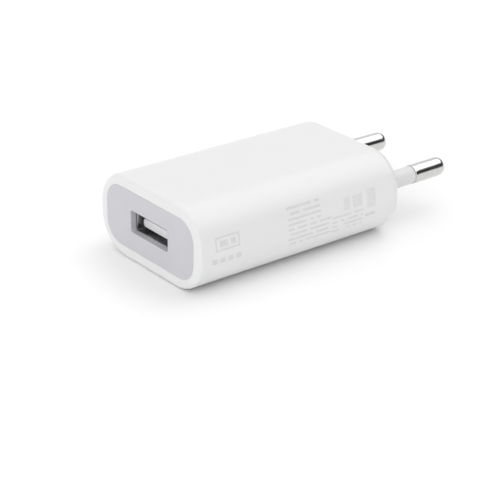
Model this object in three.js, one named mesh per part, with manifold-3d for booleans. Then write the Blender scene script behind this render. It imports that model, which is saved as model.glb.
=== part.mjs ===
// A slim USB wall charger with two fixed round mains pins. Millimetres throughout.
// X is the width, +Y runs from the USB end to the pin tips, +Z is up, and Z = 0 is the flat underside.
import * as THREE from "three";
import { mergeVertices } from "three/addons/utils/BufferGeometryUtils.js";
import Module from "manifold-3d";

const wasm = await Module();
wasm.setup();

// ---------------------------------------------------------------- driving dimensions

const BODY = { width: 33, height: 17.2, length: 51, corner: 7.9, usbEdge: 0.8, plugEdge: 2 };
const PIN = {
  reach: 18.5, // plug face to tip
  bareLength: 9, // metal left bare at the tip
  bareRadius: 2,
  shankRadius: 1.45, // inside the sleeve
  tipRadius: 1.4, // rounding at the tip
  ease: 0.12, // where the bare metal starts
  flangeRadius: 2.4,
  flangeFrom: -5.2,
  flangeTo: -4.2,
  tailRadius: 1.2,
  tailEnd: -9,
  rootSpacing: 18.6,
  tipSpacing: 18,
};
const SLEEVE = {
  radius: 1.9,
  bore: 1.5,
  rootRadius: 2.3,
  rootFlare: 0.9, // length over which the root narrows to the sleeve
  collarRadius: 3.2,
  collarFrom: -3.8,
  collarTo: -3.06,
  ease: 0.12, // at the outer end
  endGap: 0.04, // to the bare metal
};
const MOUTH = { halfWidth: 14.25, halfHeight: 6.25, corner: 4.45, depth: 1.35 };
const CAVITY = { halfWidth: 13.85, halfHeight: 5.85, corner: 4.05, endRadius: 1.2 };
const PLUG_WALL = 3;
const PIN_HOLE_RADIUS = 2.36;

const CAP = { halfWidth: 14.2, halfHeight: 6.2, corner: 4.4, thickness: 1.35, edge: 0.12 };
const SKIRT = { halfWidth: 13.7, halfHeight: 5.7, corner: 3.9, wall: 1, depth: 2.4 };
const PORT = { halfWidth: 6.1, halfHeight: 2.3, corner: 0.5, chamfer: 0.12 };
const HOOK = { thickness: 1, halfHeight: 1.5, length: 5.9, barb: 0.55, barbLength: 1.3, clearance: 0.2 };

const SOCKET = {
  innerHalfWidth: 6.25,
  innerHalfHeight: 2.56,
  innerCorner: 0.45,
  wall: 0.3,
  gapBehindCap: 0.35,
  length: 13.7,
};
const FINGER = { offset: 3, width: 1.6, length: 5.6, slot: 0.3, root: 7.9, dip: 0.42 };
const LEG = { from: 8.3, width: 1.4, root: 2.4 };
const TONGUE = { halfWidth: 5.55, top: 0.15, thickness: 1.8, recess: 2.65, corner: 0.75 };
const REAR_BLOCK = { halfWidth: 6.2, halfHeight: 2.5, corner: 0.5, from: 11.4, to: 15.2 };
const CONTACT = {
  offsets: {
    usb_contact_ground: -3.5,
    usb_contact_d_plus: -1,
    usb_contact_d_minus: 1,
    usb_contact_vbus: 3.5,
  },
  width: 0.9,
  thickness: 0.2,
  side: 0.15, // gap each side of the strip in its groove
  hinge: 10.8, // distance of the flexing root behind the USB face
  grooveDepth: 0.8,
  grooveFrom: 3.1,
  tail: 16, // distance of the solder tail behind the USB face
  root: 0.5, // depth of the root below the top of the tongue
};

const BOARD = { halfWidth: 12.6, thickness: 1.2, from: 4.8, to: 44, corner: 0.8 };
const LEAD = { radius: 0.3, hole: 0.42, rise: 0.75, filletRadius: 0.62, filletHeight: 0.6 };
const RIB = { inner: 12.3, height: 0.75, from: 8, to: 43.6, gap: 0.05 };
const CARRIER = {
  halfWidth: 12.4,
  halfHeight: 5,
  corner: 3.3,
  edge: 0.3,
  from: 44.2,
  to: 47.1,
  bore: 1.6,
  pocket: 2.5,
};
const STOP = { halfWidth: 3, thickness: 1, height: 1.2, gap: 0.1 };
const SPRING = { from: 41.5, thickness: 0.3, width: 3.2, foot: 1.5, tabWidth: 1.2 };
const SHEET = { halfWidth: 9.6, thickness: 0.2, from: 6.6, to: 43, corner: 1 };
const SLOT_GAP = 0.15; // round a tab or leg in its slot in the board
const OVERCUT = 1; // how far a cutting tool runs past the material
const BITE = 0.2; // how far joined solids run into each other

// ---------------------------------------------------------------- places that follow from them

const OVERALL = BODY.length + PIN.reach;
const USB_FACE = -OVERALL / 2;
const PLUG_FACE = USB_FACE + BODY.length;
const MID = BODY.height / 2;
const PIN_TILT = Math.atan2((PIN.rootSpacing - PIN.tipSpacing) / 2, PIN.reach);
const SOCKET_TOP = MID + SOCKET.innerHalfHeight + SOCKET.wall;
const SOCKET_FRONT = USB_FACE + CAP.thickness + SOCKET.gapBehindCap;
const SOCKET_REAR = SOCKET_FRONT + SOCKET.length;
const BOARD_UNDER = SOCKET_TOP;
const BOARD_TOP = BOARD_UNDER + BOARD.thickness;
const TONGUE_TOP = MID + TONGUE.top;
const behind = (distance) => USB_FACE + distance;

// ---------------------------------------------------------------- finishes

const finish = (color, roughness, metalness = 0) =>
  new THREE.MeshStandardMaterial({ color, roughness, metalness });
const GLOSS_WHITE = finish(0xf1f1f3, 0.25);
const CAP_GREY = finish(0xd0cfd4, 0.4);
const SLEEVE_WHITE = finish(0xe6e6e9, 0.4);
const NICKEL = finish(0xdcdad6, 0.16, 1);
const STEEL = finish(0x9c9ca2, 0.35, 1);
const TONGUE_WHITE = finish(0xe0dfe4, 0.45);
const GOLD = finish(0xd9b25c, 0.25, 1);
const BRASS = finish(0xc9a85a, 0.35, 1);
const BOARD_TAN = finish(0xb98d4f, 0.6);
const BLACK = finish(0x1b1b1d, 0.5);
const CAN_BLACK = finish(0x26262c, 0.35);
const CAN_GREEN = finish(0x2f5d4a, 0.35);
const FERRITE = finish(0x3a3a3c, 0.7);
const COPPER = finish(0xb8662f, 0.35, 1);
const TAPE = finish(0xe2bd2c, 0.4);
const DISC_BLUE = finish(0x2b6fb5, 0.35);
const FUSE_TAN = finish(0xd8c8a0, 0.5);
const NYLON = finish(0xdad8d0, 0.5);
const FILM = finish(0xece9dc, 0.5);

// ---------------------------------------------------------------- shape helpers

function solid(geometry) {
  const bare = new THREE.BufferGeometry();
  const flat = geometry.index ? geometry.toNonIndexed() : geometry;
  bare.setAttribute("position", flat.getAttribute("position"));
  const merged = mergeVertices(bare, 1e-4);
  return new wasm.Manifold(
    new wasm.Mesh({
      numProp: 3,
      vertProperties: merged.attributes.position.array,
      triVerts: new Uint32Array(merged.index.array),
    }),
  );
}

const join = (parts) => parts.reduce((whole, part) => whole.add(part));
const cut = (body, tools) => tools.reduce((left, tool) => left.subtract(tool), body);

// The limits of a stretch between two distances from the middle, on one side of it.
const mirrored = (side, near, far) => (side > 0 ? [near, far] : [-far, -near]);

// A box from its low and high limits on each axis.
function block([x0, x1], [y0, y1], [z0, z1]) {
  const box = new THREE.BoxGeometry(x1 - x0, y1 - y0, z1 - z0);
  box.translate((x0 + x1) / 2, (y0 + y1) / 2, (z0 + z1) / 2);
  return solid(box);
}

function roundedRect(halfWidth, halfHeight, corner) {
  const shape = new THREE.Shape();
  const [w, h, r] = [halfWidth, halfHeight, corner];
  shape.moveTo(w, -h + r);
  shape.lineTo(w, h - r);
  shape.absarc(w - r, h - r, r, 0, Math.PI / 2);
  shape.lineTo(-w + r, h);
  shape.absarc(-w + r, h - r, r, Math.PI / 2, Math.PI);
  shape.lineTo(-w, -h + r);
  shape.absarc(-w + r, -h + r, r, Math.PI, Math.PI * 1.5);
  shape.lineTo(w - r, -h);
  shape.absarc(w - r, -h + r, r, Math.PI * 1.5, Math.PI * 2);
  return shape;
}

// Extrudes a shape from one height to another, its two rims rounded by edge.
function extruded(shape, from, to, { edge = 0, arcSteps = 3, edgeSteps = 3 } = {}) {
  const geometry = new THREE.ExtrudeGeometry(shape, {
    depth: to - from - 2 * edge,
    curveSegments: arcSteps,
    steps: 1,
    bevelEnabled: edge > 0,
    bevelThickness: edge,
    bevelSize: edge,
    bevelOffset: -edge,
    bevelSegments: edgeSteps,
  });
  geometry.translate(0, 0, from + edge);
  return geometry;
}

// A shape drawn in X and Z, run along Y.
function alongY(shape, from, to, options) {
  const geometry = extruded(shape, -to, -from, options);
  geometry.rotateX(Math.PI / 2);
  return solid(geometry);
}

// A shape drawn in X and Y, run along Z.
const alongZ = (shape, from, to, options) => solid(extruded(shape, from, to, options));

// A shape drawn in Y and Z, run along X.
function alongX(shape, from, to, options) {
  const geometry = extruded(shape, from, to, options);
  geometry.rotateY(Math.PI / 2);
  geometry.rotateX(Math.PI / 2);
  return solid(geometry);
}

// A constant-thickness strip along a path of [across, up] points.
function strip(path, thickness) {
  const points = path.map(([a, b]) => new THREE.Vector2(a, b));
  const sides = [[], []];
  points.forEach((point, i) => {
    const before = points[Math.max(i - 1, 0)];
    const after = points[Math.min(i + 1, points.length - 1)];
    const into = point.clone().sub(before).normalize();
    const out = after.clone().sub(point).normalize();
    const along = into.clone().add(out).normalize();
    const normal = new THREE.Vector2(-along.y, along.x);
    const bend = Math.max(Math.abs(along.dot(i ? into : out)), 0.5);
    const offset = normal.multiplyScalar(thickness / 2 / bend);
    sides[0].push(point.clone().add(offset));
    sides[1].push(point.clone().sub(offset));
  });
  return new THREE.Shape([...sides[0], ...sides[1].reverse()]);
}

// A profile of [radius, height] points turned about an axis through the origin.
function turned(profile, segments, axis = "y") {
  const points = profile.map(([radius, height]) => new THREE.Vector2(radius, height));
  const geometry = new THREE.LatheGeometry(points, segments);
  if (axis === "x") geometry.rotateZ(-Math.PI / 2);
  if (axis === "z") geometry.rotateX(Math.PI / 2);
  return solid(geometry);
}

const rod = (radius, from, to, segments, axis) =>
  turned([[0, from], [radius, from], [radius, to], [0, to]], segments, axis);

const circle = (radius) => new THREE.Shape().absarc(0, 0, radius, 0, Math.PI * 2);

// A round wire along a smooth path of points.
function wire(radius, points, steps = 5) {
  const path = new THREE.CatmullRomCurve3(points.map((p) => new THREE.Vector3(...p)));
  const options = { extrudePath: path, steps, curveSegments: 3, bevelEnabled: false };
  return solid(new THREE.ExtrudeGeometry(circle(radius), options));
}

// ---------------------------------------------------------------- through-hole leads and the board's holes

const boardHoles = [];

// A straight lead from a height below the board up through it, with its cone of solder on top.
function lead(x, y, fromHeight) {
  const hole = rod(LEAD.hole, BOARD_UNDER - OVERCUT, BOARD_TOP + OVERCUT, 8, "z");
  boardHoles.push(hole.translate(x, y, 0));
  const pin = rod(LEAD.radius, fromHeight, BOARD_TOP + LEAD.rise, 8, "z");
  const fillet = turned(
    [
      [0, BOARD_TOP],
      [LEAD.filletRadius, BOARD_TOP],
      [LEAD.radius + 0.1, BOARD_TOP + LEAD.filletHeight],
      [0, BOARD_TOP + LEAD.filletHeight],
    ],
    8,
    "z",
  );
  return pin.add(fillet).translate(x, y, 0);
}

// A lead that leaves a part level, at [x, y, z], and bends up to the board at a point beside it.
function bentLead(from, [x, y]) {
  const [fx, fy, fz] = from;
  const bend = wire(LEAD.radius, [
    from,
    [fx + (x - fx) * 0.75, fy + (y - fy) * 0.75, fz + 0.05],
    [x, y, fz + 0.45],
    [x, y, fz + 1.2],
  ]);
  return bend.add(lead(x, y, fz + 1));
}

// A slot through the board for what fills these limits, with a gap all round.
function slotInBoard([x0, x1], [y0, y1]) {
  const x = [x0 - SLOT_GAP, x1 + SLOT_GAP];
  const y = [y0 - SLOT_GAP, y1 + SLOT_GAP];
  boardHoles.push(block(x, y, [BOARD_UNDER - OVERCUT, BOARD_TOP + OVERCUT]));
}

// ---------------------------------------------------------------- enclosure

const BODY_SECTION = roundedRect(BODY.width / 2, BODY.height / 2, BODY.corner);

// Moves a solid made about the pin's own axis, its plug face at height 0, to one of the two pins.
const atPin = (body, side) =>
  body
    .rotate([0, 0, THREE.MathUtils.radToDeg(side * PIN_TILT)])
    .translate(side * (PIN.rootSpacing / 2), PLUG_FACE, MID);

function bodyShell() {
  const smooth = { arcSteps: 8, edgeSteps: 4 };
  const halves = [
    alongY(BODY_SECTION, USB_FACE, PLUG_FACE, { edge: BODY.usbEdge, ...smooth }).trimByPlane([0, -1, 0], 0),
    alongY(BODY_SECTION, USB_FACE, PLUG_FACE, { edge: BODY.plugEdge, ...smooth }).trimByPlane([0, 1, 0], 0),
  ];
  const mouth = roundedRect(MOUTH.halfWidth, MOUTH.halfHeight, MOUTH.corner);
  const cavity = roundedRect(CAVITY.halfWidth, CAVITY.halfHeight, CAVITY.corner);
  const hollow = alongY(cavity, USB_FACE - OVERCUT - CAVITY.endRadius, PLUG_FACE - PLUG_WALL, {
    edge: CAVITY.endRadius,
    arcSteps: 4,
    edgeSteps: 2,
  });
  const seat = alongY(mouth, USB_FACE - OVERCUT, behind(MOUTH.depth), { arcSteps: 4 });
  const shell = join(halves).translate(0, 0, MID);
  const emptied = cut(shell, [hollow.translate(0, 0, MID), seat.translate(0, 0, MID)]);

  const pinHoles = [-1, 1].map((side) =>
    atPin(rod(PIN_HOLE_RADIUS, -PLUG_WALL - OVERCUT, OVERCUT, 24), side),
  );
  const pocketFrom = behind(CAP.thickness + HOOK.length - HOOK.barbLength - HOOK.clearance);
  const pocketTo = behind(CAP.thickness + HOOK.length + HOOK.clearance);
  const pocketDepth = SKIRT.halfWidth + HOOK.barb + HOOK.clearance;
  const pocketHeight = HOOK.halfHeight + HOOK.clearance;
  const pockets = [
    [-pocketDepth, -SKIRT.halfWidth],
    [SKIRT.halfWidth, pocketDepth],
  ].map((x) => block(x, [pocketFrom, pocketTo], [MID - pocketHeight, MID + pocketHeight]));

  // Ledges that carry the board's two long edges, and a stop that keeps the pin carrier home.
  const ribTop = BOARD_UNDER - RIB.gap;
  const ribX = [RIB.inner, CAVITY.halfWidth + 2 * BITE];
  const ribs = [ribX, ribX.map((x) => -x).reverse()].map((x) =>
    block(x, [behind(RIB.from), behind(RIB.to)], [ribTop - RIB.height, ribTop]),
  );
  const floor = MID - CAVITY.halfHeight;
  const stopBack = behind(CARRIER.from) - STOP.gap;
  const stop = block(
    [-STOP.halfWidth, STOP.halfWidth],
    [stopBack - STOP.thickness, stopBack],
    [floor - 2 * BITE, floor + STOP.height],
  );
  return join([cut(emptied, [...pinHoles, ...pockets]), ...ribs, stop]);
}

function usbEndCap() {
  const back = behind(CAP.thickness);
  const face = roundedRect(CAP.halfWidth, CAP.halfHeight, CAP.corner);
  const plate = alongY(face, USB_FACE, back, { edge: CAP.edge, arcSteps: 5, edgeSteps: 1 });
  const rim = { arcSteps: 4 };
  const outerRect = roundedRect(SKIRT.halfWidth, SKIRT.halfHeight, SKIRT.corner);
  const outer = alongY(outerRect, back - BITE, back + SKIRT.depth, rim);
  const innerRect = roundedRect(
    SKIRT.halfWidth - SKIRT.wall,
    SKIRT.halfHeight - SKIRT.wall,
    SKIRT.corner - SKIRT.wall,
  );
  const skirt = outer.subtract(alongY(innerRect, back, back + SKIRT.depth + OVERCUT, rim));

  const end = back + HOOK.length;
  const barbRoot = SKIRT.halfWidth;
  const profile = [
    [barbRoot - HOOK.thickness, back - BITE],
    [barbRoot - HOOK.thickness, end],
    [barbRoot - 0.3, end],
    [barbRoot + HOOK.barb, end - HOOK.barbLength + 0.35],
    [barbRoot + HOOK.barb, end - HOOK.barbLength],
    [barbRoot, end - HOOK.barbLength],
    [barbRoot, back - BITE],
  ];
  const hooks = [-1, 1].map((side) => {
    const outline = profile.map(([x, y]) => new THREE.Vector2(side * x, y));
    const shape = new THREE.Shape(side > 0 ? outline : outline.reverse());
    return alongZ(shape, -HOOK.halfHeight, HOOK.halfHeight);
  });

  const opening = roundedRect(PORT.halfWidth, PORT.halfHeight, PORT.corner);
  const port = alongY(opening, USB_FACE - OVERCUT, back + OVERCUT, { arcSteps: 2 });
  const wider = roundedRect(PORT.halfWidth + 1, PORT.halfHeight + 1, PORT.corner + 1);
  const chamfered = { edge: 1, arcSteps: 2, edgeSteps: 1 };
  const flare = alongY(wider, USB_FACE - OVERCUT, USB_FACE + PORT.chamfer, chamfered);
  return cut(join([plate, skirt, ...hooks]), [port, flare]).translate(0, 0, MID);
}

// ---------------------------------------------------------------- mains pins

function mainsPin() {
  const bareFrom = PIN.reach - PIN.bareLength;
  const dome = [0, 0.25, 0.5, 0.75, 1].map((t) => {
    const angle = (t * Math.PI) / 2;
    const flat = PIN.bareRadius - PIN.tipRadius;
    return [flat + PIN.tipRadius * Math.cos(angle), PIN.reach - PIN.tipRadius * (1 - Math.sin(angle))];
  });
  return turned(
    [
      [0, PIN.tailEnd],
      [PIN.tailRadius - 0.3, PIN.tailEnd],
      [PIN.tailRadius, PIN.tailEnd + 0.3],
      [PIN.tailRadius, PIN.flangeFrom - 0.6],
      [PIN.shankRadius, PIN.flangeFrom - 0.4],
      [PIN.shankRadius, PIN.flangeFrom],
      [PIN.flangeRadius, PIN.flangeFrom],
      [PIN.flangeRadius, PIN.flangeTo],
      [PIN.shankRadius, PIN.flangeTo],
      [PIN.shankRadius, bareFrom],
      [PIN.bareRadius - PIN.ease, bareFrom],
      [PIN.bareRadius, bareFrom + PIN.ease],
      ...dome,
      [0, PIN.reach],
    ],
    24,
  );
}

function pinSleeve() {
  const end = PIN.reach - PIN.bareLength - SLEEVE.endGap;
  const flare = [0, 0.2, 0.45, 0.75, 1].map((t) => {
    const drop = SLEEVE.rootRadius - SLEEVE.radius;
    return [SLEEVE.rootRadius - drop * Math.sin((t * Math.PI) / 2), t * SLEEVE.rootFlare];
  });
  return turned(
    [
      [SLEEVE.bore, SLEEVE.collarFrom],
      [SLEEVE.collarRadius, SLEEVE.collarFrom],
      [SLEEVE.collarRadius, SLEEVE.collarTo],
      [SLEEVE.rootRadius, SLEEVE.collarTo],
      ...flare,
      [SLEEVE.radius, end - SLEEVE.ease],
      [SLEEVE.radius - SLEEVE.ease, end],
      [SLEEVE.bore, end],
      [SLEEVE.bore, SLEEVE.collarFrom],
    ],
    24,
  );
}

function pinCarrier() {
  const outline = roundedRect(CARRIER.halfWidth, CARRIER.halfHeight, CARRIER.corner);
  const rim = { edge: CARRIER.edge, arcSteps: 3, edgeSteps: 1 };
  const plate = alongY(outline, behind(CARRIER.from), behind(CARRIER.to), rim);
  const bores = [-1, 1].flatMap((side) => [
    atPin(rod(CARRIER.bore, PIN.tailEnd, OVERCUT, 16), side),
    atPin(rod(CARRIER.pocket, PIN.flangeFrom - 0.1, OVERCUT, 16), side),
  ]);
  return cut(plate.translate(0, 0, MID), bores);
}

// A brass strip that hangs from the board and presses on a pin's tail.
function pinContact(side) {
  const y = behind(SPRING.from);
  const x = side * (PIN.rootSpacing / 2 - PIN.tailEnd * Math.sin(PIN_TILT));
  const low = MID - SPRING.foot;
  const path = [
    [y - 1.7, low + 0.9],
    [y - 1.3, low + 0.15],
    [y - 0.7, low - 0.2],
    [y - 0.2, low + 0.1],
    [y, low + 0.8],
    [y, BOARD_UNDER - 0.15],
  ];
  const blade = alongX(strip(path, SPRING.thickness), x - SPRING.width / 2, x + SPRING.width / 2);
  const half = SPRING.tabWidth / 2;
  const thick = SPRING.thickness / 2;
  const tabZ = [BOARD_UNDER - 0.6, BOARD_TOP + LEAD.rise];
  const tab = block([x - half, x + half], [y - thick, y + thick], tabZ);
  slotInBoard([x - half, x + half], [y - thick, y + thick]);
  return blade.add(tab);
}

// ---------------------------------------------------------------- USB socket

function socketShell() {
  const { innerHalfWidth: w, innerHalfHeight: h, innerCorner: r, wall } = SOCKET;
  const options = { arcSteps: 2 };
  const outer = alongY(roundedRect(w + wall, h + wall, r + wall), SOCKET_FRONT, SOCKET_REAR, options);
  const bore = alongY(roundedRect(w, h, r), SOCKET_FRONT - OVERCUT, SOCKET_REAR + OVERCUT, options);

  const rootY = SOCKET_FRONT + FINGER.root;
  const tipY = rootY - FINGER.length;
  const windowY = [tipY - 0.5, rootY];
  const slotHalf = FINGER.width / 2 + FINGER.slot;
  const spans = [-FINGER.offset, FINGER.offset];
  const windowZ = [-h - OVERCUT, h + OVERCUT];
  const windows = spans.map((x) => block([x - slotHalf, x + slotHalf], windowY, windowZ));
  const sideWindow = block([-w - OVERCUT, w + OVERCUT], windowY, [-slotHalf, slotHalf]);

  // Each finger leaves the wall at its root, dips into the bore and turns back up at its tip.
  const fingerPath = (wallAt, inward) => [
    [rootY + 0.4, wallAt],
    [rootY, wallAt],
    [rootY - FINGER.length * 0.45, wallAt + inward * FINGER.dip * 0.6],
    [rootY - FINGER.length * 0.8, wallAt + inward * FINGER.dip],
    [tipY, wallAt + inward * FINGER.dip * 0.45],
  ];
  const half = FINGER.width / 2;
  const fingers = [-1, 1].flatMap((level) => {
    const shape = strip(fingerPath(level * (h + wall / 2), -level), wall);
    return spans.map((x) => alongX(shape, x - half, x + half));
  });
  const sideFingers = [-1, 1].map((side) => {
    const path = fingerPath(side * (w + wall / 2), -side * 0.7).map(([y, x]) => [x, y]);
    return alongZ(strip(path, wall), -half, half);
  });

  const legY = [SOCKET_FRONT + LEG.from, SOCKET_FRONT + LEG.from + LEG.width];
  const legs = [-1, 1].map((side) => {
    const x = mirrored(side, w, w + wall);
    slotInBoard(x, legY);
    return block(x, legY, [h - LEG.root, BOARD_TOP + LEAD.rise - MID]);
  });
  const tube = cut(outer, [bore, ...windows, sideWindow]);
  return join([tube, ...fingers, ...sideFingers, ...legs]).translate(0, 0, MID);
}

function socketInsulator() {
  const tongueLow = TONGUE_TOP - TONGUE.thickness;
  const section = roundedRect(TONGUE.halfWidth, TONGUE.thickness / 2, TONGUE.corner);
  const tongue = alongY(section, behind(TONGUE.recess), behind(REAR_BLOCK.from) + 0.5, {
    edge: 0.25,
    arcSteps: 3,
    edgeSteps: 1,
  }).translate(0, 0, (TONGUE_TOP + tongueLow) / 2);
  const { halfWidth, halfHeight, corner, from, to } = REAR_BLOCK;
  const rear = alongY(roundedRect(halfWidth, halfHeight, corner), behind(from), behind(to), {
    arcSteps: 1,
  }).translate(0, 0, MID);
  const groove = CONTACT.width / 2 + CONTACT.side;
  const channels = Object.values(CONTACT.offsets).map((x) =>
    block(
      [x - groove, x + groove],
      [behind(CONTACT.grooveFrom), behind(REAR_BLOCK.to) + OVERCUT],
      [TONGUE_TOP - CONTACT.grooveDepth, TONGUE_TOP + 0.2],
    ),
  );
  return cut(tongue.add(rear), channels);
}

// A spring strip: its tip in its groove, its crest proud of the tongue, its flexing root, and then
// its tail up through the board.
function usbContact(x) {
  const root = TONGUE_TOP - CONTACT.root;
  const tail = behind(CONTACT.tail);
  const path = [
    [behind(3.45), TONGUE_TOP - 0.25],
    [behind(4.0), TONGUE_TOP + 0.05],
    [behind(4.5), TONGUE_TOP + 0.17],
    [behind(5.0), TONGUE_TOP + 0.15],
    [behind(6.2), TONGUE_TOP + 0.02],
    [behind(CONTACT.hinge), root],
    [tail - 0.35, root],
    [tail - 0.08, root + 0.1],
    [tail, root + 0.35],
    [tail, BOARD_TOP + 0.65],
  ];
  const half = CONTACT.width / 2;
  slotInBoard([x - half, x + half], [tail - 0.35, tail + 0.1]);
  return alongX(strip(path, CONTACT.thickness), x - half, x + half);
}

// ---------------------------------------------------------------- electronic components

// An electrolytic can lying level: its leads leave the crimped end and bend up to the board.
function layingCapacitor({ radius, length, at, axis, toward, pitch, leadGap }) {
  const can = turned(
    [
      [0, 0.25],
      [radius * 0.72, 0.25],
      [radius * 0.8, 0],
      [radius * 0.94, 0.1],
      [radius, 0.5],
      [radius, 1.2],
      [radius * 0.9, 1.5],
      [radius * 0.9, 1.8],
      [radius, 2.1],
      [radius, length - 0.4],
      [radius - 0.4, length],
      [radius * 0.75, length],
      [radius * 0.75, length - 0.12],
      [0, length - 0.12],
    ],
    16,
    axis,
  );
  const height = BOARD_UNDER - 0.15 - radius;
  const turnedCan = toward < 0 ? can : can.rotate([0, 0, 180]);
  const [x, y] = at;
  const parts = [turnedCan.translate(x, y, height)];
  for (const offset of [-pitch / 2, pitch / 2]) {
    const from = axis === "x" ? [x - toward * 0.4, y + offset] : [x + offset, y - toward * 0.4];
    const to = axis === "x" ? [x + toward * leadGap, y + offset] : [x + offset, y + toward * leadGap];
    parts.push(bentLead([...from, height], to));
  }
  return join(parts);
}

// A round body lying level between two leads.
function axialPart({ radius, length, at: [x, y], axis, span }) {
  const height = BOARD_UNDER - 0.2 - radius;
  const half = length / 2;
  const body = turned(
    [
      [0, -half],
      [radius * 0.8, -half],
      [radius, -half + 0.3],
      [radius, half - 0.3],
      [radius * 0.8, half],
      [0, half],
    ],
    12,
    axis,
  ).translate(x, y, height);
  const leads = [-1, 1].map((end) => {
    const inner = end * (half - 0.3);
    const outer = (end * span) / 2;
    return axis === "x"
      ? bentLead([x + inner, y, height], [x + outer, y])
      : bentLead([x, y + inner, height], [x, y + outer]);
  });
  return join([body, ...leads]);
}

const TRANSFORMER = {
  at: [-5.8, behind(23.8), BOARD_UNDER - 4],
  coreHalfLength: 6.1,
  coreHalfWidth: 6.1,
  coreHalfHeight: 1.9,
  backThickness: 1.5,
  outerLeg: 1.2,
  centreHalf: 1.6,
  airGap: 0.1,
  tubeWall: 0.6,
  flangeHalfWidth: 4.65,
  flangeHalfHeight: 3.95,
  flangeThickness: 0.6,
  tubeHalfLength: 4.4,
  coilHalfWidth: 4.2,
  coilHalfHeight: 3.5,
  coilCorner: 1.4,
  tapeGap: 0.03,
  tapeThickness: 0.17,
  clearance: 0.1, // between the bobbin and the ferrite
  terminalX: 5.4,
  terminalY: 3.2,
};

const inTransformer = (body) => body.translate(...TRANSFORMER.at);

// One E-shaped ferrite half; side is the end its back plate stands at.
function transformerCore(side) {
  const t = TRANSFORMER;
  const height = [-t.coreHalfHeight, t.coreHalfHeight];
  const inner = t.coreHalfLength - t.backThickness;
  const legInner = t.coreHalfWidth - t.outerLeg;
  const leg = mirrored(side, 0, inner + BITE);
  return inTransformer(
    join([
      block(mirrored(side, inner, t.coreHalfLength), [-t.coreHalfWidth, t.coreHalfWidth], height),
      block(leg, [legInner, t.coreHalfWidth], height),
      block(leg, [-t.coreHalfWidth, -legInner], height),
      block(mirrored(side, t.airGap / 2, inner + BITE), [-t.centreHalf, t.centreHalf], height),
    ]),
  );
}

function transformerBobbin() {
  const t = TRANSFORMER;
  const boreY = t.centreHalf + t.clearance;
  const boreZ = t.coreHalfHeight + t.clearance;
  const [outerY, outerZ] = [boreY + t.tubeWall, boreZ + t.tubeWall];
  const tube = block([-t.tubeHalfLength, t.tubeHalfLength], [-outerY, outerY], [-outerZ, outerZ]);
  const flangeY = [-t.flangeHalfWidth, t.flangeHalfWidth];
  const flanges = [-1, 1].map((side) => {
    const x = mirrored(side, t.tubeHalfLength - t.flangeThickness, t.tubeHalfLength);
    return block(x, flangeY, [-t.flangeHalfHeight, t.flangeHalfHeight]);
  });
  const rails = [-1, 1].map((side) => {
    const x = mirrored(side, t.tubeHalfLength - 0.3, t.coreHalfLength + 0.05);
    return block(x, flangeY, [boreZ, t.flangeHalfHeight]);
  });
  const boreX = t.tubeHalfLength + OVERCUT;
  const bore = block([-boreX, boreX], [-boreY, boreY], [-boreZ, boreZ]);
  const sockets = terminalPlaces().map(([x, y]) => rod(0.36, 2.2, 5, 8, "z").translate(x, y, 0));
  return inTransformer(cut(join([tube, ...flanges, ...rails]), [bore, ...sockets]));
}

function terminalPlaces() {
  const { terminalX: x, terminalY: y } = TRANSFORMER;
  return [-1, 1].flatMap((sx) => [-1, 1].map((sy) => [sx * x, sy * y]));
}

// A band around the bobbin's tube, between the flanges, from its [y, z] inside to its [y, z] outside.
function coilBand([innerY, innerZ], [outerY, outerZ], corner, endGap) {
  const halfLength = TRANSFORMER.tubeHalfLength - TRANSFORMER.flangeThickness - endGap;
  const outer = alongX(roundedRect(outerY, outerZ, corner), -halfLength, halfLength);
  const innerCorner = Math.max(corner - (outerY - innerY), 0.1);
  const innerRect = roundedRect(innerY, innerZ, innerCorner);
  return inTransformer(outer.subtract(alongX(innerRect, -halfLength - OVERCUT, halfLength + OVERCUT)));
}

function transformerWinding() {
  const t = TRANSFORMER;
  const tube = [t.centreHalf, t.coreHalfHeight].map((half) => half + t.clearance + t.tubeWall + 0.02);
  return coilBand(tube, [t.coilHalfWidth, t.coilHalfHeight], t.coilCorner, 0.05);
}

function transformerTape() {
  const t = TRANSFORMER;
  const inside = [t.coilHalfWidth + t.tapeGap, t.coilHalfHeight + t.tapeGap];
  const outside = inside.map((half) => half + t.tapeThickness);
  return coilBand(inside, outside, t.coilCorner + t.tapeGap + t.tapeThickness, 0.1);
}

function coreTape() {
  const t = TRANSFORMER;
  const halfHeight = t.coreHalfHeight - 0.3;
  const [gap, thickness] = [0.02, 0.14];
  const [innerX, innerY] = [t.coreHalfLength + gap, t.coreHalfWidth + gap];
  const outer = roundedRect(innerX + thickness, innerY + thickness, thickness);
  const band = alongZ(outer, -halfHeight, halfHeight, { arcSteps: 2 });
  const hole = block([-innerX, innerX], [-innerY, innerY], [-halfHeight - OVERCUT, halfHeight + OVERCUT]);
  return inTransformer(band.subtract(hole));
}

function yCapacitor() {
  const [x, y] = [3.2, behind(21.3)];
  const radius = 3.5;
  const height = BOARD_UNDER - 1 - radius;
  const disc = turned(
    [
      [0, -1.5],
      [radius * 0.7, -1.4],
      [radius * 0.94, -0.9],
      [radius, 0],
      [radius * 0.94, 0.9],
      [radius * 0.7, 1.4],
      [0, 1.5],
    ],
    16,
    "x",
  ).translate(x, y, height);
  const legs = [-2.5, 2.5].map((offset) => lead(x, y + offset, height + 1));
  return join([disc, ...legs]);
}

function auxCapacitor() {
  const [x, y] = [7, behind(20.6)];
  const can = turned(
    [
      [0, -6.6],
      [1.6, -6.6],
      [2, -6.2],
      [2, -1.4],
      [1.8, -1.2],
      [1.8, -1],
      [2, -0.8],
      [2, -0.2],
      [1.7, -0.05],
      [0, -0.05],
    ],
    14,
    "z",
  ).translate(x, y, BOARD_UNDER);
  const legs = [-0.9, 0.9].map((offset) => lead(x, y + offset, BOARD_UNDER - 1));
  return join([can, ...legs]);
}

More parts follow.
